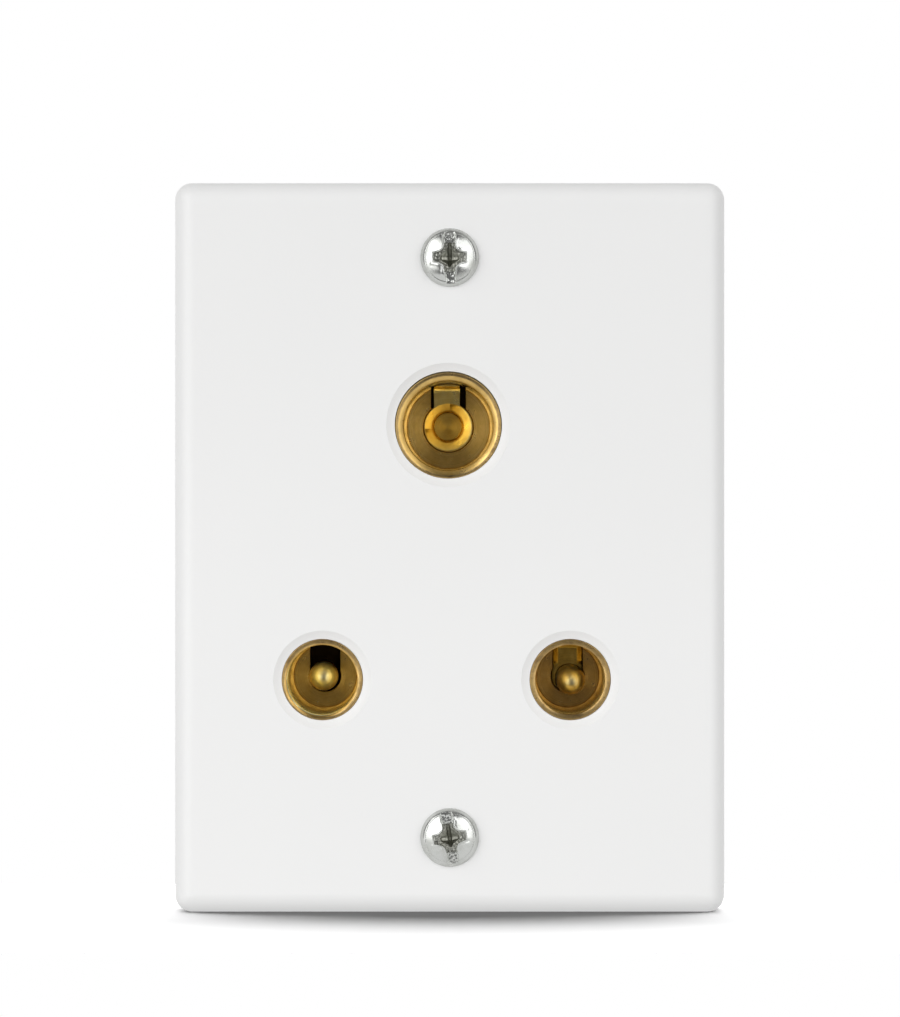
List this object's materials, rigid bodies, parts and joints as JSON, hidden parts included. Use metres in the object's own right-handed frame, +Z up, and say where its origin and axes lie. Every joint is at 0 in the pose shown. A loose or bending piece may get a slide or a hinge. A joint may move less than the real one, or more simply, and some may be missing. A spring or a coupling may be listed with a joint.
{
  "type": "three-pin socket",
  "caption": "Flush socket outlet for round pins: white moulded face plate with brass contact tubes, fixing screws and a moulded base with screw terminals behind it.",
  "frame": {"origin": "centre of the plate's rear rim, in the plane where it rests on the wall", "axes": "+Z up with the earth socket at the top, +Y out of the back into the wall, +X to the right seen from the front"},
  "size_m": [0.0564, 0.0334, 0.0748],
  "materials": {
    "plate_plastic": "white moulded thermoplastic, satin gloss",
    "base_plastic": "black phenolic moulding",
    "brass": "turned and stamped brass, slightly dull",
    "plated_steel": "bright zinc plate"
  },
  "bodies": {
    "root": {"face_plate": "plate_plastic", "rear_base": "base_plastic", "earth_tube": "brass", "earth_leaf": "brass", "earth_terminal_block": "brass", "earth_clamp_washer": "plated_steel", "earth_terminal_screw": "brass", "line_tube": "brass", "line_leaf": "brass", "line_terminal_block": "brass", "line_clamp_washer": "plated_steel", "line_terminal_screw": "brass", "neutral_tube": "brass", "neutral_leaf": "brass", "neutral_terminal_block": "brass", "neutral_clamp_washer": "plated_steel", "neutral_terminal_screw": "brass", "mounting_screw_top": "plated_steel", "mounting_screw_bottom": "plated_steel", "base_screw_left": "plated_steel", "base_screw_right": "plated_steel"}
  },
  "joints": []
}
